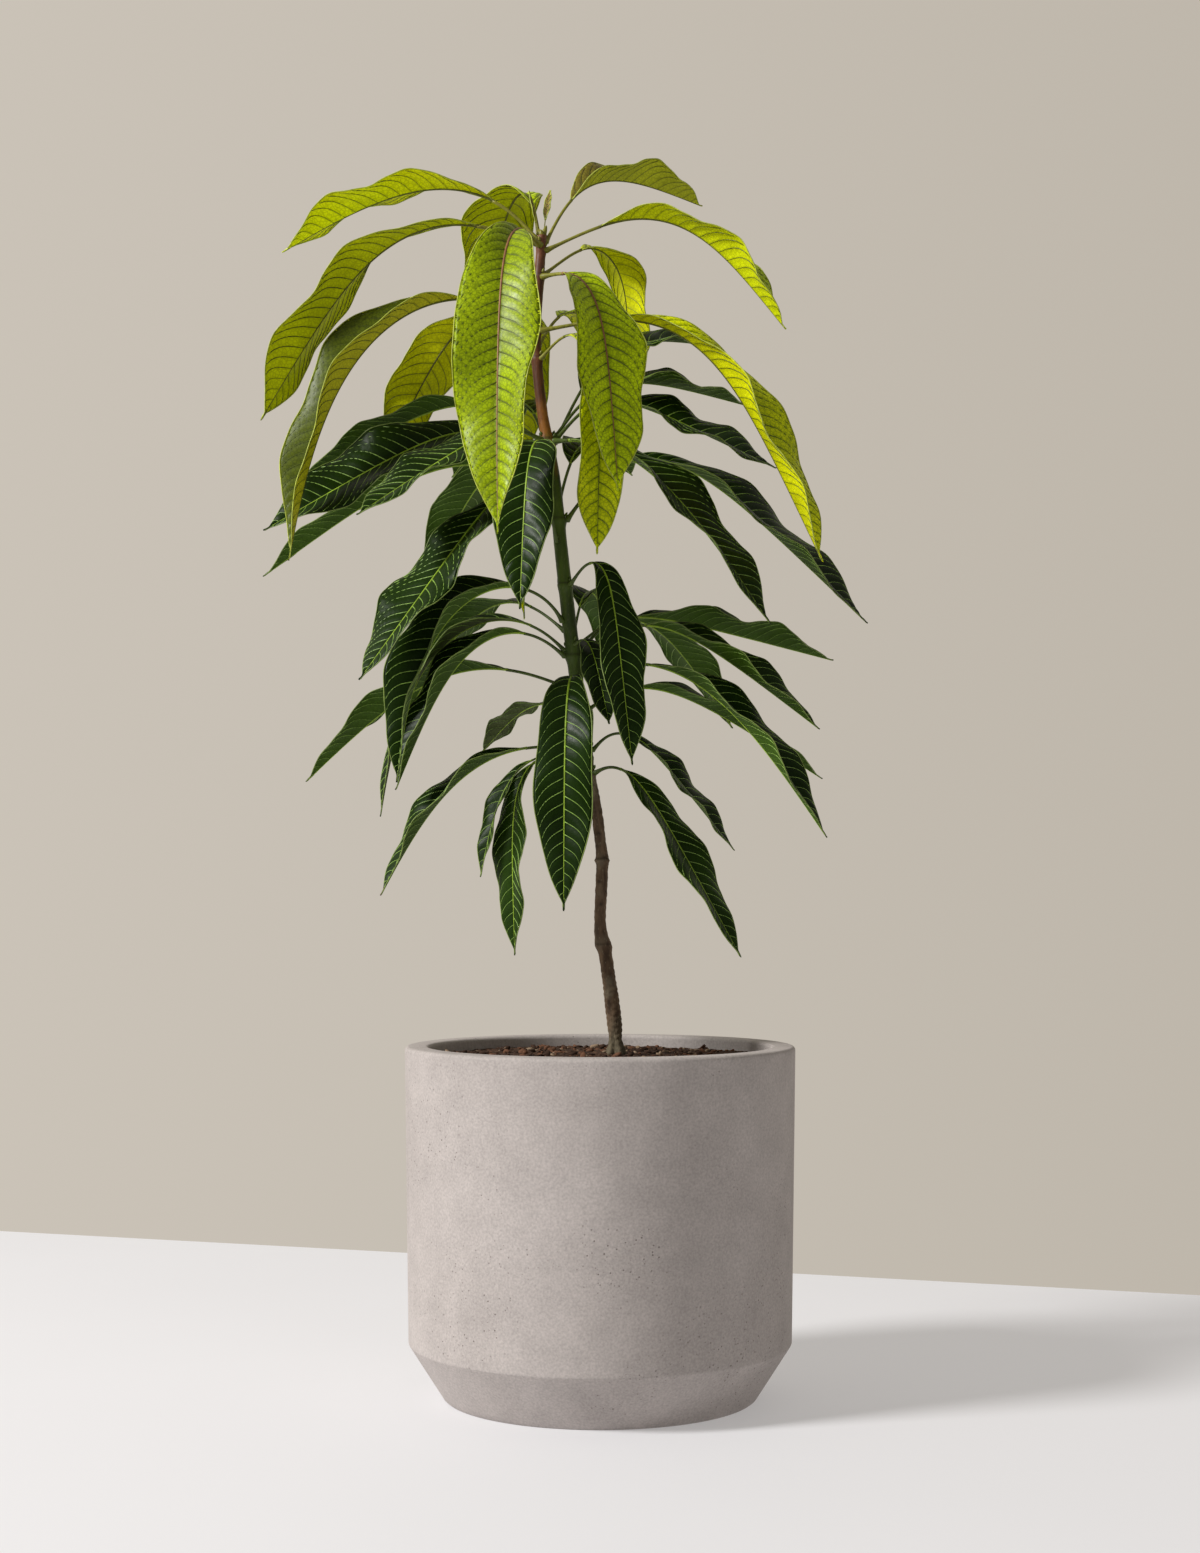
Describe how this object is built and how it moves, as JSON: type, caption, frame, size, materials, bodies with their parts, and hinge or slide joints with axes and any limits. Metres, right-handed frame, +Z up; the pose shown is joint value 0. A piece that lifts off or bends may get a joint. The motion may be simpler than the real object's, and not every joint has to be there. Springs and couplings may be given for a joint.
{
  "type": "potted mango sapling",
  "caption": "Young mango tree with tiers of long drooping leaves on one slender leaning trunk, in a round chamfered planter filled with soil.",
  "frame": {"origin": "middle of the flat underside of the pot", "axes": "+Z up the plant, -Y towards the side that is seen from the front, +X to its right"},
  "size_m": [0.5384, 0.3819, 1.1016],
  "materials": {
    "pot": "rough cast, warm grey",
    "soil": "coarse, moist",
    "bark": "rough bark",
    "young_leaf": "satin leaf",
    "old_leaf": "glossy leaf"
  },
  "bodies": {
    "root": {"pot": "pot", "soil": "soil", "trunk": "bark", "tip_leaves": "young_leaf", "young_leaves": "young_leaf", "upper_leaves": "old_leaf", "middle_leaves": "old_leaf", "lower_leaves": "old_leaf", "bottom_leaves": "old_leaf"}
  },
  "joints": []
}
